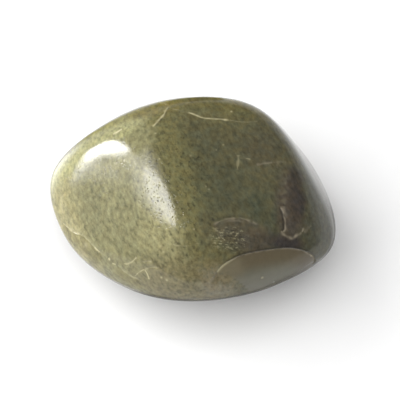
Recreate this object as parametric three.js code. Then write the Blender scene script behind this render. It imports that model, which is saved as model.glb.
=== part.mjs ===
// A tumbled pebble of green common opal, lying on its flattest side.
//
// Tumbling has worn the pebble into soft flats with rounded ridges between
// them. Each flat pushes the surface in to its own distance, and a power mean
// of all of them blends the flats into one closed, convex skin.

import * as THREE from 'three';
import { mergeVertices } from 'three/addons/utils/BufferGeometryUtils.js';

// Driving dimensions, in millimetres and degrees.

// A flat faces along an azimuth, turned from +X towards +Y, and an elevation
// above the table. Its distance is taken from a point inside the stone.
const WORN_FLATS = [
  { name: 'crown', azimuth: 0, elevation: 84, distance: 9.6 },
  { name: 'left face', azimuth: 200, elevation: 48, distance: 11.8 },
  { name: 'back left bevel', azimuth: 140, elevation: 63, distance: 12.1 },
  { name: 'back left side', azimuth: 122, elevation: 24, distance: 14.9 },
  { name: 'back side', azimuth: 88, elevation: 24, distance: 13.25 },
  { name: 'back right side', azimuth: 50, elevation: 22, distance: 14.5 },
  { name: 'right side', azimuth: 24, elevation: 22, distance: 14.3 },
  { name: 'right tip', azimuth: 352, elevation: 0, distance: 18.4 },
  { name: 'front right tip', azimuth: 336, elevation: -14, distance: 22.3 },
  { name: 'front right side', azimuth: 299, elevation: -22, distance: 14.1 },
  { name: 'front side', azimuth: 272, elevation: -26, distance: 12.8 },
  { name: 'front left side', azimuth: 240, elevation: -22, distance: 14.6 },
  { name: 'left tip, front', azimuth: 209, elevation: -10, distance: 18.7 },
  { name: 'left tip, back', azimuth: 152, elevation: 10, distance: 19.8 },
  { name: 'front bevel', azimuth: 290, elevation: 38, distance: 14.3 },
  { name: 'right bevel', azimuth: 350, elevation: 50, distance: 14.5 },
  { name: 'front left bevel', azimuth: 234, elevation: 28, distance: 14.6 },
  { name: 'under the back', azimuth: 84, elevation: -46, distance: 12.0 },
  { name: 'under the left', azimuth: 188, elevation: -58, distance: 13.0 },
  { name: 'under the right', azimuth: 346, elevation: -58, distance: 12.8 },
  { name: 'under the front', azimuth: 262, elevation: -64, distance: 10.8 },
  { name: 'underside', azimuth: 60, elevation: -88, distance: 9.4 },
];

// A higher power gives narrower ridges between the flats.
const RIDGE_POWER = 11;

// The underside is worn truly level where the stone rests.
const RESTING_LEVEL = -9.2;

// The rough proportions even out the triangles over the long shape.
const PROPORTIONS = new THREE.Vector3(18.8, 14.0, 9.5);
const EDGE_DIVISIONS = 20;

const OPAL_GREEN = 0x7f7a58;
const POLISHED_ROUGHNESS = 0.2;

function facing({ azimuth, elevation }) {
  const turn = THREE.MathUtils.degToRad(azimuth);
  const rise = THREE.MathUtils.degToRad(elevation);
  return new THREE.Vector3(
    Math.cos(rise) * Math.cos(turn),
    Math.cos(rise) * Math.sin(turn),
    Math.sin(rise),
  );
}

// The planes of the flats, scaled so that a plane's value is 1 on the flat.
const WORN_PLANES = WORN_FLATS.map((flat) => facing(flat).divideScalar(flat.distance));

// How far the skin lies from the inner point in a direction.
function skinDistance(direction) {
  let sum = 0;
  for (const plane of WORN_PLANES) {
    sum += Math.max(0, plane.dot(direction)) ** RIDGE_POWER;
  }
  const blended = sum ** (-1 / RIDGE_POWER);
  const goesDown = direction.z < 0;
  return goesDown ? Math.min(blended, RESTING_LEVEL / direction.z) : blended;
}

// A ball of even triangles, each corner moved along its direction to the skin.
function pebbleGeometry() {
  const ball = new THREE.IcosahedronGeometry(1, EDGE_DIVISIONS);
  ball.deleteAttribute('normal');
  ball.deleteAttribute('uv');
  const geometry = mergeVertices(ball);
  const corners = geometry.getAttribute('position');
  const corner = new THREE.Vector3();
  for (let i = 0; i < corners.count; i += 1) {
    corner.fromBufferAttribute(corners, i);
    corner.multiply(PROPORTIONS).normalize();
    corner.multiplyScalar(skinDistance(corner));
    corners.setXYZ(i, corner.x, corner.y, corner.z);
  }
  return geometry;
}

// Puts the origin under the middle of the stone, on the table.
function standOnTable(geometry) {
  geometry.center();
  geometry.translate(0, 0, -geometry.boundingBox.min.z);
  geometry.computeVertexNormals();
  return geometry;
}

const opalStone = new THREE.Mesh(
  standOnTable(pebbleGeometry()),
  new THREE.MeshStandardMaterial({
    color: OPAL_GREEN,
    roughness: POLISHED_ROUGHNESS,
    metalness: 0,
  }),
);
opalStone.name = 'opal_stone';

const stone = new THREE.Group();
stone.add(opalStone);

export default stone;
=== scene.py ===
"""A polished pebble of green opal on a pale table, built around its CAD solid."""
import functools
import math
from typing import NamedTuple

import bmesh
import bpy
import numpy as np
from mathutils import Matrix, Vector, noise
from mathutils.bvhtree import BVHTree
from mathutils.kdtree import KDTree


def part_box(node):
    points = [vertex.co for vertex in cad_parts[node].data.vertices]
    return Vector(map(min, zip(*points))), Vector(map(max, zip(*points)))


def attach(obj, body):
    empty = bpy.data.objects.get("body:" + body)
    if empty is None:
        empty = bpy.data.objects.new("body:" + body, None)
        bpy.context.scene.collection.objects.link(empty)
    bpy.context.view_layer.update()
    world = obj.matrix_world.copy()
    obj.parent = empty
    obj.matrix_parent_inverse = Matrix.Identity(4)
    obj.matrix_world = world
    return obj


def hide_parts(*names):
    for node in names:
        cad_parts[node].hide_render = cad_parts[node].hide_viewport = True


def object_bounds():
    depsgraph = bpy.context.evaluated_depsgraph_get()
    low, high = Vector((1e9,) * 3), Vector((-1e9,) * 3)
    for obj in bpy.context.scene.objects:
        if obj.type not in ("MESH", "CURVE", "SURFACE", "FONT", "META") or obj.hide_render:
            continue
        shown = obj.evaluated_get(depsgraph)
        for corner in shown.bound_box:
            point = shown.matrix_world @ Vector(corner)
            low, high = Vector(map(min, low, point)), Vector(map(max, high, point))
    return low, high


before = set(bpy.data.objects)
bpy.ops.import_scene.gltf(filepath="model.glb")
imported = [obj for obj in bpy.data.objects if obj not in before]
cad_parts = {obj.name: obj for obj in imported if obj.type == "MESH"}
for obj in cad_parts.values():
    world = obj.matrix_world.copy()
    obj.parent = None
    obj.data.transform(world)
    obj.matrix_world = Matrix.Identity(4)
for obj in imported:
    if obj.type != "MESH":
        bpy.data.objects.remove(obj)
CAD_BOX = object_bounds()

bl_info = {
    "name": "Green opal pebble",
    "version": (1, 0, 0),
    "blender": (4, 5, 0),
    "location": "3D View > Sidebar > Opal",
    "description": "Builds a polished green opal pebble with its table, light and camera",
    "category": "Add Mesh",
}

MM = 0.001
STONE_NODE = "opal_stone"
BODY = "root"
BOX_LOW, BOX_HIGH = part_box(STONE_NODE)
HEART = (BOX_LOW + BOX_HIGH) / 2
HALF_SIZE = (BOX_HIGH - BOX_LOW) / 2

# The camera aims at a point near the stone's heart.
AIM_OFFSET = (1.11 * MM, 0.16 * MM, -0.31 * MM)

# Places on the stone are given as they stand in the camera's square picture.
PICTURE_SIZE = 400

# A place just off the outline slides in to it, by steps in picture units.
SLIDE_STEP = 0.5
SLIDE_STEPS = 24


# ---------- marks


class Crack(NamedTuple):
    """A healed crack. Its route is in picture coordinates, its sizes in millimetres, the rest from 0 to 1.

    Its shadow lies to the left of its way. Its stain, and its step down, lie to the right.
    """

    name: str
    route: tuple
    width: float
    strength: float
    depth: float = 0.03
    filling: str = "cream_line"
    gaps: float = 1.0
    shade: float = 0.0
    step: float = 0.0
    stain: str = ""
    stain_reach: float = 3.0


grey_crack = functools.partial(Crack, filling="grey_line")

# A crack has its name, its route, its width, its filling's strength and what differs from the rest.
CRACKS = (
    Crack("chevron, upper side", ((157, 102), (162, 102.6), (166, 104.3), (168, 107)), 0.15, 0.35),
    Crack("chevron, lower side", ((168, 106.5), (165.3, 110), (163, 115), (158.3, 120), (152, 127)),
        0.28, 0.6, gaps=0.5, shade=0.3, stain="ochre_stain", stain_reach=4.6),
    Crack("back line, left end", ((172, 108.3), (180, 109.8), (188, 111.7)), 0.14, 0.22),
    Crack("back line", ((187, 111.5), (194, 114), (199, 116), (205, 117.8), (212, 118.3), (220, 118.7),
        (230, 119.8)), 0.19, 0.7, gaps=0.45, shade=0.1, step=0.03),
    Crack("back line, faint end", ((229, 119.7), (236, 121), (247, 121.6), (259, 121)), 0.15, 0.16),
    Crack("green stub", ((238.5, 154), (238, 162), (237.5, 170)), 0.26, 0.3, gaps=0.4),
    Crack("stub's branch", ((238.5, 157.5), (244, 157.8), (251, 159)), 0.16, 0.25),
    grey_crack("crown line", ((256, 164.5), (262, 163.5), (268, 162.6), (273, 162)), 0.3, 0.3, gaps=0.5),
    grey_crack("crown line, right end", ((273, 162), (279, 161.4), (287, 161.6)), 0.3, 0.16, gaps=0.5),
    grey_crack("crown line's drop", ((278, 161.5), (277.5, 168)), 0.4, 0.16),
    Crack("pale stripe", ((284, 168), (284.5, 180), (284, 192), (283, 205)), 0.75, 0.1, depth=0.0),
    grey_crack("right step's wedge", ((285.5, 218), (284.5, 212), (283.3, 205)), 0.5, 0.36, depth=0.05,
        gaps=0.4),
    grey_crack("right step", ((283.2, 232.5), (285.4, 229), (285.6, 222), (284.3, 214), (281, 205.5)),
        0.26, 0.85, depth=0.05, gaps=0.6, shade=0.85, step=0.06),
    grey_crack("right step's foot", ((281, 230.5), (284, 234.5), (288, 236.6), (292.5, 237.6), (297.5, 235.2),
        (302.3, 232)), 0.3, 0.75, depth=0.05, gaps=0.9, shade=0.3),
    grey_crack("right step's tip", ((302.3, 232), (303.4, 230), (303.5, 227.5)), 0.22, 0.8),
    grey_crack("right step's arc", ((304.5, 232.5), (309, 228.8), (312, 225)), 0.4, 0.3, gaps=0.5),
    grey_crack("front arc", ((211, 224.8), (217, 222.3), (224, 219.7), (231, 218.3), (239, 217.8),
        (246, 219.2), (253, 222), (260, 225)), 0.26, 0.34, shade=0.3, stain="brown_stain", stain_reach=4.0),
    grey_crack("front arc's inner strand", ((220, 223.5), (228, 221.2), (237, 220.6), (245, 222.4)),
        0.24, 0.22),
    Crack("dark comma", ((211.5, 217), (210.5, 220), (213.5, 222.6)), 0.3, 0.0, shade=0.8),
    Crack("left line's way", ((61.3, 222.5), (66.3, 226.9), (72.5, 231.2), (80, 234.6), (86.3, 239.4),
        (92.5, 246.3), (98.8, 252), (103.8, 258)), 0.2, 0.2, step=0.03, stain="ochre_stain",
        stain_reach=3.2),
    Crack("left line's bright start", ((61.3, 222.5), (66.3, 226.9), (72.5, 231.2), (80, 234.6)), 0.22, 0.72,
        gaps=0.7),
    Crack("left line's bright stretch", ((93.5, 247), (96.3, 249.8), (99.2, 252.4)), 0.24, 0.85, gaps=0.4),
    Crack("left line's blob", ((107.8, 258.4), (109.5, 260.2)), 0.26, 0.8, gaps=0.0, shade=0.4),
    Crack("left line's second blob", ((111.8, 263.7), (115.3, 264.6)), 0.24, 0.7, gaps=0.0),
    Crack("left line, faint end", ((117, 265.5), (123, 271.3), (131, 276.8), (142, 282)), 0.4, 0.24,
        stain="ochre_stain", stain_reach=2.4),
    Crack("left hook", ((123.3, 263.8), (126.5, 264.1), (129.5, 263), (133, 260.6), (136.2, 256.9)),
        0.17, 0.55, gaps=0.5),
    Crack("tent, left side", ((134.5, 276.5), (137.5, 273.5), (140.5, 271.3), (143.7, 269.7)), 0.17, 0.55,
        gaps=0.5),
    Crack("tent, ridge", ((143.5, 269.8), (148, 268.3), (153, 267.8), (158, 268.3)), 0.15, 0.34, gaps=0.6),
    Crack("tent, right side", ((143.8, 269.8), (146.6, 274.2), (148.5, 280)), 0.19, 0.7, gaps=0.3),
    Crack("tent's echo", ((141, 262.5), (146, 262), (151, 261.7)), 0.15, 0.28),
    Crack("middle line", ((172, 243.8), (178, 245.5), (186, 246), (192, 244.6), (200, 243.4)), 0.15, 0.3),
    Crack("left streak", ((61.5, 194), (61.3, 206), (63, 219)), 0.5, 0.3, depth=0.0),
    # A painted highlight: a glint of light on a tiny chip, drawn as a full-strength cream line over a shallow
    # groove.
    Crack("bright scratch", ((112.3, 133.8), (117, 131.2), (121.8, 128.6)), 0.32, 1.0, gaps=0.3),
    # Painted shadow: a dark line on the left face with no groove cut, only a crack's shaded side.
    Crack("groove over the left face", ((84, 155), (92, 147.5), (101, 142), (110, 138.8)), 0.1, 0.0,
        depth=0.0, shade=0.25),
)

# Small pale flecks: each one's place in the picture, its width in millimetres and its strength.
FLECKS = (
    ((231.4, 111.2), 0.26, 0.6), ((223.4, 144.4), 0.2, 0.35), ((216.4, 149.6), 0.2, 0.2),
    ((209, 189), 0.22, 0.25), ((159.4, 158.6), 0.2, 0.5), ((155.4, 133), 0.24, 0.45),
    ((190.6, 155.4), 0.3, 0.2), ((194, 229), 0.22, 0.35), ((163, 252), 0.26, 0.3), ((161, 277.8), 0.3, 0.5),
    ((166.5, 280.6), 0.3, 0.5), ((262.7, 278.4), 0.26, 0.55), ((312.6, 256.4), 0.24, 0.3),
    ((85.5, 245), 0.7, 0.35), ((84, 254), 0.8, 0.15), ((116, 163), 0.3, 0.3), ((98, 252), 0.24, 0.6),
    ((160.6, 246), 0.3, 0.25), ((206, 186), 0.24, 0.2), ((221, 235.5), 0.2, 0.3), ((219, 237.5), 0.2, 0.35),
)

# The masks that the mesh carries for the material.
MASKS = ("cream_line", "grey_line", "shaded_line", "ochre_stain", "brown_stain", "flake_bed", "flake_foot",
         "rolled_edge", "hidden_side", "underside")

# The lip of a shallow flake that broke off the front.
FLAKE_LIP = (
    (216, 274), (218.5, 269.8), (224, 264.5), (232, 259.5), (240, 255.8), (250, 253), (262, 250.8),
    (275, 248.9), (287, 247.9), (295, 248.5), (303, 250.5), (310, 253.4), (315, 257.4), (315.8, 262),
)

# Edges where the skin stays full before it turns down: the azimuth each faces, and how full from 0 to 1.
FULL_EDGES = ((111, 1.0), (62, 0.25), (265, 0.6), (342, 0.6))

# The azimuth that the stained, rolled-over edge faces.
STAINED_EDGE = 113


class View(NamedTuple):
    """The camera's place, its frame of axes and how wide a slice of the stone it sees."""

    eye: Vector
    aim: Vector
    right: Vector
    up: Vector
    distance: float
    width: float


def added(name, data):
    """A new object in the scene."""
    made = bpy.data.objects.new(name, data)
    bpy.context.scene.collection.objects.link(made)
    return made


def camera_view(settings):
    """The view that the stage's settings ask for."""
    rise = math.radians(settings.elevation)
    back = Vector((0, -math.cos(rise), math.sin(rise)))
    right = Vector((1, 0, 0))
    aim = HEART + Vector(settings.aim_offset)
    eye = aim + back * settings.distance
    return View(eye, aim, right, back.cross(right), settings.distance, settings.picture_width)


def sight_line(view, place):
    """The direction from the eye through a place in the picture."""
    step = view.width / PICTURE_SIZE
    across = (place[0] - PICTURE_SIZE / 2) * step
    upward = (PICTURE_SIZE / 2 - place[1]) * step
    return (view.aim + view.right * across + view.up * upward - view.eye).normalized()


def seen_spot(view, skin, place):
    """The spot of the stone's skin at a place in the picture."""
    middle = Vector((PICTURE_SIZE / 2, PICTURE_SIZE / 2))
    start = Vector(place)
    for slide in range(SLIDE_STEPS):
        tried = start + (middle - start).normalized() * (slide * SLIDE_STEP)
        spot = skin.ray_cast(view.eye, sight_line(view, tried))[0]
        if spot is not None:
            return spot
    raise RuntimeError(f"the stone isn't seen near {place}")


# ---------- the stone's mesh


# Corners of the CAD solid nearer than this are one.
SAME_CORNER = 0.001 * MM

# Each round of relaxing pulls the corners towards their neighbours, and pushes them back.
RELAX_PULL, RELAX_PUSH = 0.60, -0.63

# The squares nearer than these to a crack, a fleck or the lip are cut finer, once for each.
FINE_REACHES = (0.45 * MM, 0.22 * MM)

# How wide the waves and the ripples left by tumbling are, in millimetres.
WAVE_SIZE = 7.0
RIPPLE_SIZE = 2.4

# How far the flake's bed runs down from its lip.
FLAKE_REACH = 6.5 * MM


def search_tree(mesh, join_within=0.0):
    """A search tree over a copy of a mesh. Its loose triangles are joined where a distance is given."""
    shape = bmesh.new()
    shape.from_mesh(mesh)
    if join_within:
        bmesh.ops.remove_doubles(shape, verts=shape.verts, dist=join_within)
    tree = BVHTree.FromBMesh(shape)
    shape.free()
    return tree


def even_ball(cuts):
    """A unit ball of nearly even squares, as a bmesh: a cube cut into a grid and blown up."""
    ball = bmesh.new()
    bmesh.ops.create_cube(ball, size=2)
    bmesh.ops.subdivide_edges(ball, edges=ball.edges, cuts=cuts, use_grid_fill=True)
    for vert in ball.verts:
        vert.co = Vector([math.tan(part * math.pi / 4) for part in vert.co]).normalized()
    return ball


def wrap_on_solid(ball, solid):
    """Moves each corner of the ball out to the CAD solid, seen from the stone's heart."""
    for vert in ball.verts:
        direction = Vector([part * half for part, half in zip(vert.co, HALF_SIZE)]).normalized()
        spot = solid.ray_cast(HEART, direction)[0]
        if spot is None:
            raise RuntimeError("the CAD solid has a gap")
        vert.co = spot


def rows_of(vectors, field):
    """A mesh's corners or normals as an array, one row for each."""
    rows = np.empty(len(vectors) * 3, np.float32)
    vectors.foreach_get(field, rows)
    return rows.reshape(-1, 3).astype(float)


def put_points(mesh, points):
    """Writes the array back as the mesh's corners."""
    mesh.vertices.foreach_set("co", points.astype(np.float32).ravel())
    mesh.update()


def relax(mesh, rounds):
    """Smooths the CAD solid's small faces away. Pushes undo the pulls on broad shapes, so nothing shrinks."""
    edges = np.empty(len(mesh.edges) * 2, np.int32)
    mesh.edges.foreach_get("vertices", edges)
    first, second = edges.reshape(-1, 2).T
    count = len(mesh.vertices)
    neighbours = np.bincount(first, minlength=count) + np.bincount(second, minlength=count)
    points = rows_of(mesh.vertices, "co")
    for _ in range(rounds):
        for strength in (RELAX_PULL, RELAX_PUSH):
            for axis in range(3):
                line = points[:, axis]
                total = np.bincount(first, line[second], count) + np.bincount(second, line[first], count)
                points[:, axis] = line + strength * (total / neighbours - line)
    put_points(mesh, points)


def along(route, per_piece=14):
    """A smooth line through a route's places, as many more places. The ends have no overshoot."""
    places = [Vector(place) for place in route]
    ends = [places[0]] + places + [places[-1]]
    line = []
    for before, start, stop, after in zip(ends, ends[1:], ends[2:], ends[3:]):
        for part in range(per_piece):
            t = part / per_piece
            line.append(0.5 * (
                2 * start
                + (stop - before) * t
                + (2 * before - 5 * start + 4 * stop - after) * t ** 2
                + (3 * start - before - 3 * stop + after) * t ** 3
            ))
    line.append(places[-1])
    return line


class Trace(NamedTuple):
    """A crack laid on the skin: its points, the way it runs at each, and how far along each is."""

    points: np.ndarray
    runs: np.ndarray
    share: np.ndarray
    tree: KDTree


def lay_on_skin(view, skin, route):
    """Lays a picture route on the stone."""
    points = [seen_spot(view, skin, place) for place in along(route)]
    tree = KDTree(len(points))
    for index, point in enumerate(points):
        tree.insert(point, index)
    tree.balance()
    spots = np.array(points)
    runs = np.gradient(spots, axis=0)
    runs /= np.linalg.norm(runs, axis=1)[:, None]
    return Trace(spots, runs, np.linspace(0, 1, len(points)), tree)


def in_box(trace, points, reach):
    """The indices of the points in a trace's box, widened by reach."""
    low, high = trace.points.min(0) - reach, trace.points.max(0) + reach
    return np.flatnonzero(((points > low) & (points < high)).all(1))


def near_trace(trace, points, normals, reach):
    """For the points within reach of a trace: their indices, signed distances to its left, shares along it
    and distances past its ends."""
    kept, sides, shares, pasts = [], [], [], []
    for index in in_box(trace, points, reach):
        _, at, gap = trace.tree.find(points[index])
        if gap > reach:
            continue
        offset = points[index] - trace.points[at]
        left = np.cross(normals[index], trace.runs[at])
        past_end = abs(offset @ trace.runs[at]) if at in (0, len(trace.points) - 1) else 0
        lateral = float(offset @ left)
        kept.append(index)
        sides.append(math.copysign(math.hypot(lateral, past_end), lateral))
        shares.append(trace.share[at])
        pasts.append(past_end)
    return np.array(kept, int), np.array(sides), np.array(shares), np.array(pasts)


def refine_near(mesh, traces, reaches):
    """Cuts the squares near the traces finer, once for each reach."""
    shape = bmesh.new()
    shape.from_mesh(mesh)
    for reach in reaches:
        shape.verts.ensure_lookup_table()
        points = np.array([vert.co for vert in shape.verts])
        close = np.zeros(len(points), bool)
        for trace in traces:
            for index in in_box(trace, points, reach):
                close[index] |= trace.tree.find(points[index])[2] < reach
        edges = [edge for edge in shape.edges if close[edge.verts[0].index] or close[edge.verts[1].index]]
        bmesh.ops.subdivide_edges(shape, edges=edges, cuts=1, use_grid_fill=True)
        bmesh.ops.triangulate(shape, faces=[face for face in shape.faces if len(face.verts) > 4])
        shape.verts.index_update()
    bmesh.ops.triangulate(shape, faces=shape.faces)
    shape.to_mesh(mesh)
    shape.free()


def smooth_step(low, high, value):
    """0 below low, 1 above high and a soft rise between."""
    t = np.clip((value - low) / (high - low), 0, 1)
    return t * t * (3 - 2 * t)


def noise_at(points, size, seed):
    """Soft noise from -1 to 1, with features of this size in millimetres."""
    shift = Vector((seed * 17.3, seed * 5.1, seed * 9.7))
    scale = 1 / (size * MM)
    return np.array([noise.noise(Vector(point) * scale + shift) for point in points])


def carve(mesh, view, skin, settings):
    """Moves the skin in for its waves, its cracks and its flake, and stores the material's masks."""
    points = rows_of(mesh.vertices, "co")
    normals = rows_of(mesh.vertex_normals, "vector")
    masks = {name: np.zeros(len(points)) for name in MASKS}

    waves = 0.5 + 0.5 * noise_at(points, WAVE_SIZE, 1)
    ripples = 0.5 + 0.5 * noise_at(points, RIPPLE_SIZE, 2)
    inward = settings.wave_depth * waves + settings.ripple_depth * ripples

    for crack in CRACKS:
        open_crack(crack, lay_on_skin(view, skin, crack.route), points, normals, inward, masks)
    for place, width, strength in FLECKS:
        gaps = np.linalg.norm(points - np.array(seen_spot(view, skin, place)), axis=1)
        raise_to(masks["cream_line"], slice(None), strength * np.exp(-(gaps / (width * MM / 2)) ** 2))
    chip_flake(lay_on_skin(view, skin, FLAKE_LIP), points, normals, inward, masks, settings.flake_depth)

    masks["rolled_edge"] = (smooth_step(0.84, 0.6, normals[:, 2]) * smooth_step(0.1, 0.5, normals[:, 2])
                            * smooth_step(0.42, 0.62, normals @ np.array(toward(STAINED_EDGE, 0))))
    # Painted shade: how far the skin faces down, for darkening it underneath.
    masks["underside"] = smooth_step(0.1, -0.4, normals[:, 2])
    toward_eye, facing = facing_eye(view, points, normals)
    masks["hidden_side"] = smooth_step(0.03, -0.08, facing)
    fill = full_edges(normals, facing) * settings.edge_fill
    points += toward_eye * fill[:, None] - normals * inward[:, None]
    put_points(mesh, np.clip(points, np.array(CAD_BOX[0]), np.array(CAD_BOX[1])))
    for name, values in masks.items():
        layer = mesh.attributes.new(name, "FLOAT", "POINT")
        layer.data.foreach_set("value", np.clip(values, 0, 1).astype(np.float32))


def facing_eye(view, points, normals):
    """The directions to the camera's eye, and how squarely the skin faces it: 1 squarely, below 0 hidden."""
    toward_eye = np.array(view.eye) - points
    toward_eye /= np.linalg.norm(toward_eye, axis=1)[:, None]
    return toward_eye, (normals * toward_eye).sum(1)


def full_edges(normals, facing):
    """How the skin stays full up to its edges before it turns down, as a share of the greatest fill."""
    level = normals[:, :2] / np.maximum(np.linalg.norm(normals[:, :2], axis=1), 0.001)[:, None]
    share = np.zeros(len(normals))
    for azimuth, strength in FULL_EDGES:
        run = np.array(toward(azimuth, 0))[:2]
        share = np.maximum(share, strength * smooth_step(0.78, 0.97, level @ run))
    return share * smooth_step(0.52, 0.1, facing) * smooth_step(-0.65, 0.0, facing)


def raise_to(mask, where, values):
    """Lifts a mask to these values where it is lower."""
    mask[where] = np.maximum(mask[where], values)


def open_crack(crack, trace, points, normals, inward, masks):
    """Sinks one crack, and adds its filling, its shadow and its stain to the masks."""
    half = crack.width * MM / 2
    reach = crack.stain_reach * MM if crack.stain else 6 * half + 0.5 * MM
    indices, sides, shares, _ = near_trace(trace, points, normals, reach)
    ends = smooth_step(0, 0.1, shares) * smooth_step(0, 0.1, 1 - shares)
    if crack.stain:
        stain = smooth_step(0, 0.5 * half, -sides) * (1 - smooth_step(0.35 * reach, reach, -sides)) * ends
        raise_to(masks[crack.stain], indices, stain)

    close = np.abs(sides) < 6 * half + 0.3 * MM
    indices, sides, ends = indices[close], sides[close], ends[close]
    here = points[indices]
    wavering = sides + 0.8 * half * crack.gaps * noise_at(here, 0.6, 4)
    width = half * (1 + 0.9 * noise_at(here, 0.7, 6))
    line = np.exp(-(wavering / width) ** 2) * ends
    broken = np.clip(1 - crack.gaps * (0.34 - 1.5 * noise_at(here, 0.55, 3)), 0.08, 1.1)
    drop = smooth_step(0, half, -sides) * np.exp(np.minimum(sides, 0) / (6 * half)) * ends
    inward[indices] += (crack.depth * line + crack.step * drop) * MM
    raise_to(masks[crack.filling], indices, crack.strength * line * broken)
    beside = np.exp(-((sides - 1.8 * half) / (1.4 * half)) ** 2) * ends
    raise_to(masks["shaded_line"], indices, crack.shade * beside)


def chip_flake(trace, points, normals, inward, masks, depth):
    """Sinks the flake's bed below its lip, and marks the bed, the lip and a painted shadow line outside it.
    """
    indices, sides, shares, pasts = near_trace(trace, points, normals, FLAKE_REACH)
    inside = -sides
    here = points[indices]
    ends = smooth_step(0, 0.06, shares) * smooth_step(0, 0.08, 1 - shares)
    open_ends = smooth_step(1.6 * MM, 0, pasts)
    slope = 1 - smooth_step(0.8 * MM, FLAKE_REACH, inside)
    bed = smooth_step(-0.04 * MM, 0.12 * MM, inside) * slope * open_ends
    inward[indices] += depth * bed
    left_end = smooth_step(0.3, 0.14, shares)
    broken = np.clip(0.7 + 1.3 * noise_at(here, 0.5, 5), 0.05, 1.1)
    lip = np.exp(-((inside - 0.14 * MM) / ((0.1 + 0.06 * left_end) * MM)) ** 2) * ends
    raise_to(masks["cream_line"], indices, 0.7 * lip * left_end)
    raise_to(masks["grey_line"], indices, lip * broken * (0.3 + 0.3 * smooth_step(0.75, 0.9, shares)))
    # A painted shadow line just outside the lip.
    edge = np.exp(-((inside + 0.12 * MM) / (0.12 * MM)) ** 2) * ends
    raise_to(masks["shaded_line"], indices, 0.7 * edge * smooth_step(0.05, 0.2, shares))
    fresh = smooth_step(0, 0.12 * MM, inside) * smooth_step(FLAKE_REACH, 4.5 * MM, inside) * open_ends
    raise_to(masks["flake_bed"], indices, fresh * smooth_step(-0.06, 0.2, shares))
    # The bed's lower part is greyer: partly its own colour, partly a painted reflection of the table.
    raise_to(masks["flake_foot"], indices, fresh * smooth_step(1.2 * MM, 3.2 * MM, inside))


def shaped_pebble(settings, view):
    """The finished mesh of the stone, and the search tree of its smooth skin."""
    solid = search_tree(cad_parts[STONE_NODE].data, SAME_CORNER)
    ball = even_ball(settings.grid_cuts)
    wrap_on_solid(ball, solid)
    bmesh.ops.recalc_face_normals(ball, faces=ball.faces)
    mesh = bpy.data.meshes.new("tumbled_opal")
    ball.to_mesh(mesh)
    ball.free()
    relax(mesh, settings.relax_rounds)
    skin = search_tree(mesh)
    routes = [crack.route for crack in CRACKS] + [FLAKE_LIP]
    routes += [((across, down), (across + 0.5, down)) for (across, down), _, _ in FLECKS]
    traces = [lay_on_skin(view, skin, route) for route in routes]
    refine_near(mesh, traces, FINE_REACHES)
    carve(mesh, view, skin, settings)
    mesh.shade_smooth()
    return mesh, skin


# ---------- the opal's material


class Term:
    """A number in a material. Python's arithmetic on it adds Math nodes."""

    def __init__(self, recipe, socket):
        self.recipe = recipe
        self.socket = socket

    def _math(self, operation, *values, clamp=False):
        node = self.recipe.node("ShaderNodeMath", {"operation": operation, "use_clamp": clamp},
                                dict(enumerate(values)))
        return Term(self.recipe, node.outputs[0])

    def __add__(self, other):
        return self._math("ADD", self, other)

    __radd__ = __add__

    def __sub__(self, other):
        return self._math("SUBTRACT", self, other)

    def __rsub__(self, other):
        return self._math("SUBTRACT", other, self)

    def __mul__(self, other):
        return self._math("MULTIPLY", self, other)

    __rmul__ = __mul__

    def clamped(self):
        """The number, kept between 0 and 1."""
        return self._math("ADD", self, 0.0, clamp=True)

    def either(self, other):
        """The greater of two numbers."""
        return self._math("MAXIMUM", self, other)

    def rise(self, low, high):
        """0 at low, 1 at high, with a soft rise between. It falls where low is above high."""
        node = self.recipe.node("ShaderNodeMapRange", {"interpolation_type": "SMOOTHSTEP"}, {
            "Value": self, "From Min": low, "From Max": high})
        return Term(self.recipe, node.outputs["Result"])


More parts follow.
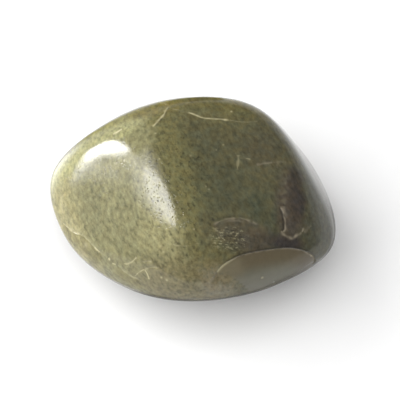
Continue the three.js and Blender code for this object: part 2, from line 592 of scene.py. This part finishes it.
class Recipe:
    """The nodes of one material, or of the world. Lengths in it are in millimetres.

    Its patches and sides are set from spots of the skin, which find_spot gives for places in the picture.
    """

    def __init__(self, owner, find_spot=None):
        self.owner = owner
        self.find_spot = find_spot
        owner.use_nodes = True
        self.tree = owner.node_tree
        self.tree.nodes.clear()

    @functools.cached_property
    def place(self):
        """The place on the piece, in millimetres."""
        return self.tinted(self.node("ShaderNodeTexCoord", {}, {}).outputs["Object"], 1 / MM)

    def node(self, kind, settings, values):
        """Adds a node: its settings first, then the values or links of its sockets."""
        node = self.tree.nodes.new(kind)
        for name, setting in settings.items():
            setattr(node, name, setting)
        for key, value in values.items():
            if isinstance(key, int):
                socket = node.inputs[key]
            else:
                socket = next(found for found in node.inputs if found.name == key and found.enabled)
            if isinstance(value, Term):
                value = value.socket
            if isinstance(value, bpy.types.NodeSocket):
                self.tree.links.new(value, socket)
            else:
                socket.default_value = value
        return node

    def vectors(self, operation, first, second):
        """A Vector Math node on two vectors."""
        return self.node("ShaderNodeVectorMath", {"operation": operation}, {0: first, 1: second})

    def grain(self, size, detail=2.0, roughness=0.5, place=None):
        """Noise from 0 to 1 whose features have this size."""
        node = self.node("ShaderNodeTexNoise", {}, {
            "Vector": place or self.place, "Scale": 1 / size, "Detail": detail, "Roughness": roughness})
        return Term(self, node.outputs[0])

    def cells(self, size, place=None):
        """The distance to the nearest of scattered points this far apart, in units of that spacing."""
        node = self.node("ShaderNodeTexVoronoi", {}, {"Vector": place or self.place, "Scale": 1 / size})
        return Term(self, node.outputs["Distance"])

    def drawn_out(self, azimuth, stretch):
        """The place, squeezed along a level direction, so that features grow long that way."""
        turn = (0, 0, math.radians(azimuth))
        return self.node("ShaderNodeMapping", {"vector_type": "TEXTURE"}, {
            "Vector": self.place, "Rotation": turn, "Scale": (stretch, 1, 1)}).outputs[0]

    def moved(self, by, size):
        """The place, moved about by soft noise, so that edges of patches wander."""
        wander = self.node("ShaderNodeTexNoise", {}, {"Vector": self.place, "Scale": 1 / size, "Detail": 3.0})
        centred = self.vectors("SUBTRACT", wander.outputs["Color"], (0.5, 0.5, 0.5))
        return self.vectors("ADD", self.place, self.tinted(centred.outputs[0], by)).outputs[0]

    def from_spot(self, place, seen_at):
        """The way to a place from the spot seen at a place in the picture."""
        return self.vectors("SUBTRACT", place, tuple(self.find_spot(seen_at) / MM)).outputs[0]

    def patch(self, place, seen_at, radii, softness, strength=1.0):
        """The strength inside an egg-shaped patch, 0 outside, with a soft edge."""
        scaled = self.vectors("DIVIDE", self.from_spot(place, seen_at), radii)
        length = self.node("ShaderNodeVectorMath", {"operation": "LENGTH"}, {0: scaled.outputs[0]})
        return Term(self, length.outputs["Value"]).rise(1 + softness, 1 - softness) * strength

    def side(self, place, seen_at, direction, low, high):
        """Rises from 0 to 1 between two distances along a direction from a spot."""
        way = tuple(Vector(direction).normalized())
        along_it = self.vectors("DOT_PRODUCT", self.from_spot(place, seen_at), way)
        return Term(self, along_it.outputs["Value"]).rise(low, high)

    def mask(self, name):
        """A number that the mesh stores."""
        return Term(self, self.node("ShaderNodeAttribute", {"attribute_name": name}, {}).outputs["Fac"])

    def blend(self, under, over, share):
        """A colour between two."""
        node = self.node("ShaderNodeMix", {"data_type": "RGBA"}, {"Factor": share, "A": under, "B": over})
        return next(found for found in node.outputs if found.enabled)

    def tinted(self, colour, share):
        """A colour, or another vector, times a number."""
        if isinstance(colour, tuple):
            colour = colour[:3]
        node = self.node("ShaderNodeVectorMath", {"operation": "SCALE"}, {0: colour, "Scale": share})
        return node.outputs[0]

    def multiplied(self, colour, tint):
        """A colour times another."""
        return self.vectors("MULTIPLY", colour, tint).outputs[0]

    def finish(self, surface):
        """Sends a shader's node to the output."""
        kind = "World" if isinstance(self.owner, bpy.types.World) else "Material"
        self.node(f"ShaderNodeOutput{kind}", {}, {"Surface": surface.outputs[0]})
        return self.owner


# Sides of the stone: a place in the picture, the way that the side faces from there, and how many millimetres
# along that way it begins and is full.
SIDES = {
    "crown": ((197, 172), (0.95, 0.28, 0), -1.8, 2.4),
    "left face": ((160, 186), (-0.92, -0.39, 0), -1.2, 1.6),
    "left end": ((80, 192), (-0.7, 0, -0.7), -1, 3),
    "back left": ((112, 136), (-0.35, 0.94, 0), -2.5, 1),
    "left of the chevron": ((150, 118), (-1, 0, 0), -1, 2.5),
    "right end": ((306, 215), (1, 0, -0.2), -0.8, 0.8),
    "back strip": ((215, 113), (0, 0.9, -0.4), -0.3, 1.6),
    "upper back": ((215, 113), (0, 0, 1), -7, -2.5),
    "pale side": ((178, 200), (-1, -0.3, 0), -2, 2),
}

# The patches of each colour: a place in the picture, radii in millimetres, softness and strength.
PATCHES = {
    "crown_green": (((209, 224), (1.2, 2.8, 3), 0.6, 0.8),),
    "pale_olive": (((134, 139), (2.5, 4, 4), 0.4, 0.9), ((158, 234), (2.2, 2.4, 3), 0.6, 0.8)),
    "low_grey": (((217, 282), (1.9, 1.6, 3), 0.6, 0.8),),
    "back_rind": (((122, 129), (1.7, 1.6, 3), 0.5, 0.8),),
    "rind": (((160, 231), (2.4, 2.4, 3), 0.7, 0.45),),
    "olive": (((216, 112), (4.6, 2.4, 3), 0.6, 0.4),),
    "deep_green": (
        ((257, 205), (1.4, 2, 3), 0.7, 0.7), ((203, 150), (2.4, 3.2, 3), 0.6, 0.25),
        ((224, 188), (3.6, 3.8, 3), 0.6, 0.4), ((268, 218), (1.8, 1.6, 3), 0.6, 0.5),
        ((275, 236), (1.4, 1.4, 3), 0.6, 0.7)),
    "brown": (
        ((291, 204), (1.7, 5, 3), 0.45), ((256, 240), (2.4, 1.6, 3), 0.5, 0.8),
        ((262, 150), (2.2, 2.6, 3), 0.7, 0.3)),
    "dark_brown_and_shade": (
        ((298, 200), (0.9, 2.1, 3), 0.5, 0.8), ((287, 243), (2.3, 0.8, 2), 0.5),
        ((297, 176), (0.9, 1.3, 3), 0.5, 0.6)),
    "ochre": (((152, 108), (4.2, 1.7, 3), 0.5),),
}
LOW_OLIVE = ((178, 286), (6.5, 3.4, 5), 0.5, 0.85)
SPECKLED_SLOPE = ((174, 190), (4.5, 9, 5), 0.5)
FLAKE_LEFT_END = ((228, 268), (1.9, 1.3, 2), 0.6, 0.7)
ROUGH_SPOT = ((230, 238), (2.2, 1.4, 2), 0.4)

# The opal's green shifts a little between a warmer and a cooler tinge.
WARM_TINGE = (1.045, 1.0, 0.93, 1.0)
COOL_TINGE = (0.955, 1.0, 1.07, 1.0)

# The sizes of the opal's texture in millimetres, and the azimuths that its grain and its crumbs run along.
BLOTCH_SIZE = 2.4
TINGE_SIZE = 0.9
MOTTLE_SIZE = 0.5
FRECKLE_SIZE = 0.42
PIT_SPACING = 0.34
PIT_CLUSTER_SIZE = 1.1
CRUMB_SIZE = 0.22
POLISH_SIZE = 3.0
RELIEF_SIZE = 0.35
GRAIN_RUN = -64
CRUMB_RUN = -8


def painted(recipe, settings, colour, layers):
    """A colour under layers of the settings' colours, each with its share."""
    for name, share in layers:
        colour = recipe.blend(colour, tuple(getattr(settings, name)), share)
    return colour


def opal_zones(recipe, settings):
    """The stone's base colour: pale on the left, olive over the ridge, dark and brown on the right."""
    wide = recipe.moved(3.0, 4.0)
    near = recipe.moved(1.2, 1.5)

    def side(name):
        return recipe.side(wide, *SIDES[name])

    def patches(name):
        return functools.reduce(Term.either, [recipe.patch(near, *patch) for patch in PATCHES[name]])

    back_rind = side("back left") * side("left of the chevron")
    ochre = (side("back strip") * side("upper back") * 0.45).either(patches("ochre"))
    hidden = recipe.mask("hidden_side")
    return painted(recipe, settings, tuple(settings.olive), (
        ("crown_green", side("crown").either(patches("crown_green"))),
        ("pale_olive", side("left face").either(patches("pale_olive"))),
        ("low_olive", recipe.patch(wide, *LOW_OLIVE)),
        ("low_grey", patches("low_grey")),
        ("rind", side("left end")),
        ("back_rind", back_rind.either(patches("back_rind"))),
        ("rind", patches("rind")),
        ("rim_green", side("right end")),
        ("olive", patches("olive")),
        ("deep_green", patches("deep_green")),
        ("brown", patches("brown").either(recipe.mask("brown_stain") * 0.55)),
        ("dark_brown_and_shade", patches("dark_brown_and_shade")),
        ("ochre", ochre.either(recipe.mask("ochre_stain") * 0.36)),
        ("olive", hidden * 0.85),
        ("stained_rim", recipe.mask("rolled_edge") * (1 - hidden) * 0.8),
        # Painted shade: the skin that faces down is darkened towards the dark brown.
        ("dark_brown_and_shade", recipe.mask("underside") * 0.5),
    ))


def opal_material(settings, view, skin):
    """Green common opal, mottled, speckled with fine pits and polished."""
    recipe = Recipe(bpy.data.materials.new("green_opal"), functools.partial(seen_spot, view, skin))
    flake, cream = recipe.mask("flake_bed"), recipe.mask("cream_line")
    slope = recipe.patch(recipe.place, *SPECKLED_SLOPE)
    pale_side = recipe.side(recipe.place, *SIDES["pale side"])

    blotches = recipe.grain(BLOTCH_SIZE, 3.0, 0.6)
    tinge = recipe.grain(TINGE_SIZE, 3.0, 0.6, recipe.moved(0.8, 2.0)).rise(0.35, 0.65)
    mottle = recipe.grain(MOTTLE_SIZE, 3.0, 0.62, recipe.drawn_out(GRAIN_RUN, 1.6))
    freckles = recipe.grain(FRECKLE_SIZE, 1.0, 0.5, recipe.drawn_out(GRAIN_RUN, 1.4)).rise(0.56, 0.70)
    freckles = freckles * (0.5 + slope)
    pits = recipe.cells(PIT_SPACING, recipe.moved(0.3, 0.4)).rise(0.42, 0.08)
    pits = pits * recipe.grain(PIT_CLUSTER_SIZE, 2.0).rise(0.35, 0.6) * (0.4 + slope * 0.6) * (1 - flake)
    turn = 0.5 + (tinge - 0.5) * (1.15 - pale_side * 0.75)
    colour = recipe.multiplied(opal_zones(recipe, settings), recipe.blend(WARM_TINGE, COOL_TINGE, turn))
    light = 1.05 + (blotches - 0.5) * 0.42 + (mottle - 0.5) * (1.65 + pale_side * 0.4)
    # The pits also darken the colour: painted shade in them.
    colour = recipe.tinted(colour, light - freckles * 0.25 - pits * 0.25)

    wandering = recipe.moved(0.8, 1.0)
    # The bed turns greyer low down: partly its own colour, partly a painted reflection of the table.
    bed = recipe.blend(tuple(settings.flake_bed), tuple(settings.flake_foot), recipe.mask("flake_foot"))
    bed = recipe.blend(bed, tuple(settings.low_grey), recipe.patch(wandering, *FLAKE_LEFT_END))
    bed = recipe.tinted(bed, 0.88 + blotches * 0.14 + mottle * 0.1)
    colour = recipe.blend(colour, bed, flake * 0.9)

    rough_spot = recipe.patch(wandering, *ROUGH_SPOT)
    crumbs = recipe.grain(CRUMB_SIZE, 2.0, 0.6, recipe.drawn_out(CRUMB_RUN, 2.2))
    colour = painted(recipe, settings, colour, (
        ("cream", rough_spot * crumbs.rise(0.54, 0.66) * 0.34),
        # Painted shade: the rough spot's sunken crumbs take the crack shadow's colour.
        ("crack_shadow", rough_spot * crumbs.rise(0.46, 0.35) * 0.6),
        ("crack_shadow", recipe.mask("shaded_line") * 0.8),
        ("grey_filling", recipe.mask("grey_line")),
        ("cream", cream),
    ))

    polish = 0.09 + recipe.grain(POLISH_SIZE, 2.0) * 0.05
    rough = polish + pits * 0.1 + cream * 0.2 + rough_spot * 0.1 + flake * 0.15
    relief = recipe.grain(RELIEF_SIZE, 2.0) * 0.3 * (1 - flake * 0.8) - pits
    relief = relief + (crumbs - 0.5) * rough_spot * 2.0
    bump = recipe.node("ShaderNodeBump", {}, {
        "Strength": 1.0, "Distance": settings.grain_depth, "Height": relief})
    return recipe.finish(recipe.node("ShaderNodeBsdfPrincipled", {}, {
        "Base Color": colour, "Roughness": rough.clamped(), "Normal": bump.outputs[0], "IOR": 1.5}))


# ---------- the stage


# The soft lights: each one's azimuth, elevation, width and height, all at one distance.
SOFTBOXES = {
    "key": (177, 34, 1300 * MM, 850 * MM),
    "front": (262, 38, 800 * MM, 800 * MM),
    "overhead": (270, 80, 800 * MM, 800 * MM),
}
SOFTBOX_DISTANCE = 800 * MM

# The horizon brightens between these values of Y, and the room takes over between these elevations.
HORIZON_TURN = (-0.4, 0.2)
HORIZON_TOP = (6, 20)


def sheet(name, shape, material):
    """An object of one material, from a bmesh that is then freed."""
    mesh = bpy.data.meshes.new(name)
    shape.to_mesh(mesh)
    shape.free()
    mesh.materials.append(material)
    return added(name, mesh)


def table_material(colour):
    """A matt white sheet with a faint unevenness."""
    recipe = Recipe(bpy.data.materials.new("matt_sheet"))
    uneven = 0.985 + recipe.grain(9.0, 2.0) * 0.03
    return recipe.finish(recipe.node("ShaderNodeBsdfPrincipled", {}, {
        "Base Color": recipe.tinted(tuple(colour), uneven), "Roughness": 0.9, "Specular IOR Level": 0.1}))


def lay_table(settings):
    """A wide flat sheet under the stone."""
    shape = bmesh.new()
    bmesh.ops.create_grid(shape, x_segments=8, y_segments=8, size=settings.table_half_width)
    table = sheet("table", shape, table_material(settings.table_colour))


def toward(azimuth, elevation):
    """The direction with this azimuth, turned from +X towards +Y, and this elevation, in degrees."""
    turn, rise = math.radians(azimuth), math.radians(elevation)
    return Vector((math.cos(rise) * math.cos(turn), math.cos(rise) * math.sin(turn), math.sin(rise)))


def hang_softbox(name, azimuth, elevation, width, height, radiance):
    """A soft light that faces the stone. It lights matt surfaces and makes no reflection."""
    away = toward(azimuth, elevation)
    lamp = bpy.data.lights.new(name, "AREA")
    lamp.shape = "RECTANGLE"
    lamp.size = width
    lamp.size_y = height
    lamp.energy = radiance * math.pi * width * height
    softbox = added(name, lamp)
    softbox.location = HEART + away * SOFTBOX_DISTANCE
    softbox.rotation_euler = (-away).to_track_quat("-Z", "Y").to_euler()
    softbox.visible_camera = False
    softbox.visible_glossy = False


class Pane(NamedTuple):
    """A bright pane, or a dim sheet of painted shade, that only reflections see.

    Its corners are places in millimetres from the stone's heart, from the lower left one round. Its fades are
    shares of its width and height, at its left, right, lower and upper edge.
    """

    name: str
    corners: tuple
    radiance: float
    fades: tuple


# The dim sheets of painted shade, which only reflections see, stand in for the table's shade round the
# stone's foot. They lie this far below the stone's heart, just above the table.
SHADE_SHEET_LEVEL = -8.0


def hung(distance, *corners):
    """Corners hung round the stone at a distance in millimetres, each an azimuth and an elevation."""
    return tuple(toward(azimuth, elevation) * distance for azimuth, elevation in corners)


def laid(*corners):
    """Corners laid beside the stone's foot, each an X and a Y in millimetres."""
    return tuple(Vector((x, y, SHADE_SHEET_LEVEL)) for x, y in corners)


PANES = (
    Pane("low_window", hung(500, (163.5, 9.5), (151, 5.5), (137.5, 13), (146, 25.5)), 22.0,
         (0.25, 0.12, 0.12, 0.1)),
    Pane("high_window", hung(500, (180, 23), (150, 34), (122, 66.5), (184, 61.5)), 11.5,
         (0.5, 0.09, 0.3, 0.05)),
    Pane("halo", hung(560, (152, 33), (128, 30), (92, 66), (152, 68)), 4.8, (0.1, 0.75, 0.3, 0.5)),
    Pane("haze", hung(620, (181, 11), (150, 11), (138, 44), (182, 44)), 4.6, (0.36, 0.15, 0.45, 0.12)),
    Pane("low_glow", hung(560, (172, 3), (155, 4), (152, 16), (169, 15)), 9.5, (0.45, 0.12, 0.3, 0.45)),
    Pane("left_card", hung(30, (176, -17), (138, -17), (140, 4), (176, 4)), 4.0, (0.5, 0.35, 0.15, 0.5)),
    Pane("right_card", hung(28, (73, -18), (4, -18), (8, 14), (73, 14)), 1.38, (0.08, 0.5, 0.3, 0.5)),
    Pane("back_card", hung(55, (102, -12), (58, -12), (58, 14), (102, 20)), 1.8, (0.4, 0.05, 0.02, 0.4)),
    # Painted shade for reflections: dim sheets laid where the table lies in the stone's shade.
    Pane("dark_flag", laid((-13, -21), (23, -19.5), (19.5, -6.5), (-11, -7)), 0.25, (0.2, 0.2, 0.35, 0.02)),
    Pane("left_flag", laid((-22, -10), (-10, -20), (-8, -7), (-14, -3)), 0.9, (0.3, 0.3, 0.3, 0.02)),
    Pane("right_flag", laid((26, -9), (24, 7), (14, 7), (16, -7)), 0.35, (0.2, 0.35, 0.3, 0.02)),
)


def pane_material(name, radiance, fades):
    """Even light that thins out to nothing towards the pane's edges."""
    recipe = Recipe(bpy.data.materials.new(name))
    parts = recipe.node("ShaderNodeSeparateXYZ", {}, {0: recipe.node("ShaderNodeUVMap", {}, {}).outputs[0]})
    left, right, bottom, top = fades
    u, v = Term(recipe, parts.outputs["X"]), Term(recipe, parts.outputs["Y"])
    share = u.rise(0, left) * u.rise(1, 1 - right) * v.rise(0, bottom) * v.rise(1, 1 - top)
    clear = recipe.node("ShaderNodeBsdfTransparent", {}, {})
    glow = recipe.node("ShaderNodeEmission", {}, {"Strength": radiance})
    return recipe.finish(recipe.node("ShaderNodeMixShader", {}, {
        0: share, 1: clear.outputs[0], 2: glow.outputs[0]}))


def hang_pane(pane):
    """Hangs a pane round the stone, as a grid that is stretched between its corners."""
    first, second, third, fourth = (corner * MM for corner in pane.corners)
    shape = bmesh.new()
    shape.loops.layers.uv.new("pane")
    bmesh.ops.create_grid(shape, x_segments=6, y_segments=6, size=1, calc_uvs=True)
    for vert in shape.verts:
        u, v = (vert.co.x + 1) / 2, (vert.co.y + 1) / 2
        vert.co = HEART + first.lerp(second, u).lerp(fourth.lerp(third, u), v)
    panel = sheet(pane.name, shape, pane_material(pane.name, pane.radiance, pane.fades))
    panel.visible_camera = False
    panel.visible_diffuse = False
    panel.visible_shadow = False


def fill_world(settings):
    """Light from all round: a bright horizon, dimmer on the camera's side, under a dim room."""
    recipe = Recipe(bpy.data.worlds.new("studio"))
    direction = recipe.node("ShaderNodeTexCoord", {}, {}).outputs["Generated"]
    parts = recipe.node("ShaderNodeSeparateXYZ", {}, {0: direction})
    depth, height = Term(recipe, parts.outputs["Y"]), Term(recipe, parts.outputs["Z"])
    brighter = settings.horizon_strength - settings.front_horizon
    horizon = settings.front_horizon + depth.rise(*HORIZON_TURN) * brighter
    above = height.rise(*(math.sin(math.radians(elevation)) for elevation in HORIZON_TOP))
    strength = horizon + above * (settings.room_strength - horizon)
    bpy.context.scene.world = recipe.finish(recipe.node("ShaderNodeBackground", {}, {"Strength": strength}))


def set_camera(view):
    """The camera of a view."""
    data = bpy.data.cameras.new("camera")
    data.lens = data.sensor_width * view.distance / view.width
    data.clip_start = view.distance / 100
    data.clip_end = view.distance * 100
    camera = added("camera", data)
    camera.location = view.eye
    camera.rotation_euler = (view.aim - view.eye).to_track_quat("-Z", "Y").to_euler()
    bpy.context.scene.camera = camera


# ---------- settings, operators, panel


def display(red, green, blue):
    """A screen colour as the linear colour, with full alpha, that materials use."""
    parts = [part / 255 for part in (red, green, blue)]
    linear = [part / 12.92 if part <= 0.04045 else ((part + 0.055) / 1.055) ** 2.4 for part in parts]
    return (*linear, 1.0)


def colour_setting(name, description, default):
    """A colour that a user may change."""
    return bpy.props.FloatVectorProperty(
        name=name, description=description, subtype="COLOR", size=4, min=0, max=1, default=default)


def length_setting(name, description, default):
    """A length that a user may change."""
    return bpy.props.FloatProperty(
        name=name, description=description, unit="LENGTH", precision=6, min=0, default=default)


def level_setting(name, description, default):
    """A strength of light that a user may change."""
    return bpy.props.FloatProperty(name=name, description=description, min=0, default=default)


class OpalPebbleSettings(bpy.types.PropertyGroup):
    """Sizes and colours of the stone."""

    grid_cuts: bpy.props.IntProperty(
        name="Grid cuts", description="Cuts along each edge of the cube that the ball is made from",
        min=8, max=127, default=99)
    relax_rounds: bpy.props.IntProperty(
        name="Relax rounds", description="Rounds of smoothing over the small faces", min=0, default=150)
    wave_depth: length_setting("Wave depth", "Depth of the broad waves left by tumbling", 0.12 * MM)
    ripple_depth: length_setting("Ripple depth", "Depth of the finer ripples", 0.02 * MM)
    grain_depth: length_setting("Grain depth", "Depth of the polish's fine pits", 0.016 * MM)
    edge_fill: length_setting("Edge fill", "How much fuller the skin is at its sharper edges", 1.0 * MM)
    flake_depth: length_setting("Flake depth", "Depth of the flake's bed below its lip", 0.18 * MM)
    pale_olive: colour_setting("Pale olive", "The opal's left face", display(114, 111, 80))
    rind: colour_setting("Rind", "The paler edge of the left end", display(136, 130, 93))
    back_rind: colour_setting("Back rind", "The yellower edge behind it", display(141, 139, 96))
    olive: colour_setting("Olive", "The slope right of the ridge", display(95, 91, 59))
    low_olive: colour_setting("Low olive", "The browner olive low on the front", display(99, 92, 65))
    low_grey: colour_setting("Low grey", "The greyer skin left of the flake", display(110, 103, 82))
    crown_green: colour_setting("Crown green", "The crown's darker green", display(78, 75, 53))
    rim_green: colour_setting("Rim green", "The green of the right end", display(68, 67, 51))
    deep_green: colour_setting("Deep green", "Bluish green patches", display(58, 62, 47))
    brown: colour_setting("Brown", "Brown patches on the right", display(67, 60, 50))
    # The dark brown is also painted as shade over the skin that faces down.
    dark_brown_and_shade: colour_setting("Dark brown", "The darkest brown spots", display(52, 47, 43))
    ochre: colour_setting("Ochre", "Stained edges", display(98, 90, 47))
    stained_rim: colour_setting("Stained rim", "The stained edge of the skin's turn", display(99, 95, 42))
    flake_bed: colour_setting("Flake bed", "The fresh surface below the flake's lip", display(87, 78, 59))
    # Partly the flake's own colour, partly a painted reflection of the table.
    flake_foot: colour_setting("Flake foot", "The flake's greyer lower part", display(95, 93, 79))
    cream: colour_setting("Cream", "The healed cracks", display(180, 172, 134))
    grey_filling: colour_setting("Grey filling", "The greyer cracks on the right", display(142, 132, 112))
    crack_shadow: colour_setting("Crack shadow", "The dark side of a crack", display(36, 32, 24))


class OpalStageSettings(bpy.types.PropertyGroup):
    """The table, the lights and the camera."""

    elevation: bpy.props.FloatProperty(
        name="Elevation", description="How steeply the camera looks down, in degrees", default=62)
    distance: length_setting("Distance", "From the camera to its aim", 150 * MM)
    picture_width: length_setting("Picture width", "How wide a slice the picture shows", 50.72 * MM)
    aim_offset: bpy.props.FloatVectorProperty(
        name="Aim offset", description="The camera's aim, from the middle of the stone's box",
        unit="LENGTH", precision=6, default=AIM_OFFSET)
    table_half_width: length_setting("Table half width", "Half the side of the table's sheet", 1000 * MM)
    table_colour: colour_setting("Table colour", "The matt sheet", (0.82, 0.82, 0.82, 1.0))
    key_radiance: level_setting("Key", "Radiance of the soft light from the left", 3.1)
    front_radiance: level_setting("Front", "Radiance of the soft light from the front", 0.15)
    overhead_radiance: level_setting("Overhead", "Radiance of the soft light above", 2.45)
    horizon_strength: level_setting("Horizon", "Strength of the light along the horizon", 1.0)
    front_horizon: level_setting("Front horizon", "Strength of the horizon on the camera's side", 0.36)
    room_strength: level_setting("Room", "Strength of the light from the room above", 0.3)


class OPAL_OT_stone(bpy.types.Operator):
    """Model the tumbled opal over its CAD solid"""

    bl_idname = "opal.stone"
    bl_label = "Opal stone"

    def execute(self, context):
        scene = context.scene
        view = camera_view(scene.opal_stage)
        mesh, skin = shaped_pebble(scene.opal_pebble, view)
        mesh.materials.append(opal_material(scene.opal_pebble, view, skin))
        stone = added("polished_opal", mesh)
        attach(stone, BODY)
        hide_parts(STONE_NODE)
        return {"FINISHED"}


class OPAL_OT_stage(bpy.types.Operator):
    """Lay the table, hang the lights and set the camera"""

    bl_idname = "opal.stage"
    bl_label = "Stage"

    def execute(self, context):
        settings = context.scene.opal_stage
        lay_table(settings)
        fill_world(settings)
        for name, place_and_size in SOFTBOXES.items():
            hang_softbox(name, *place_and_size, getattr(settings, f"{name}_radiance"))
        for pane in PANES:
            hang_pane(pane)
        set_camera(camera_view(settings))
        context.scene.view_settings.view_transform = "Standard"
        return {"FINISHED"}


class OPAL_PT_panel(bpy.types.Panel):
    """Lists the steps in the sidebar"""

    bl_idname = "OPAL_PT_panel"
    bl_label = "Green opal pebble"
    bl_space_type = "VIEW_3D"
    bl_region_type = "UI"
    bl_category = "Opal"

    def draw(self, context):
        for operator in (OPAL_OT_stone, OPAL_OT_stage):
            self.layout.operator(operator.bl_idname)


CLASSES = (OpalPebbleSettings, OpalStageSettings, OPAL_OT_stone, OPAL_OT_stage, OPAL_PT_panel)


def register():
    for cls in CLASSES:
        bpy.utils.register_class(cls)
    bpy.types.Scene.opal_pebble = bpy.props.PointerProperty(type=OpalPebbleSettings)
    bpy.types.Scene.opal_stage = bpy.props.PointerProperty(type=OpalStageSettings)


def unregister():
    del bpy.types.Scene.opal_stage
    del bpy.types.Scene.opal_pebble
    for cls in reversed(CLASSES):
        bpy.utils.unregister_class(cls)


def main():
    """Builds everything."""
    register()
    bpy.ops.opal.stage()
    bpy.ops.opal.stone()


if __name__ == "__main__":
    main()
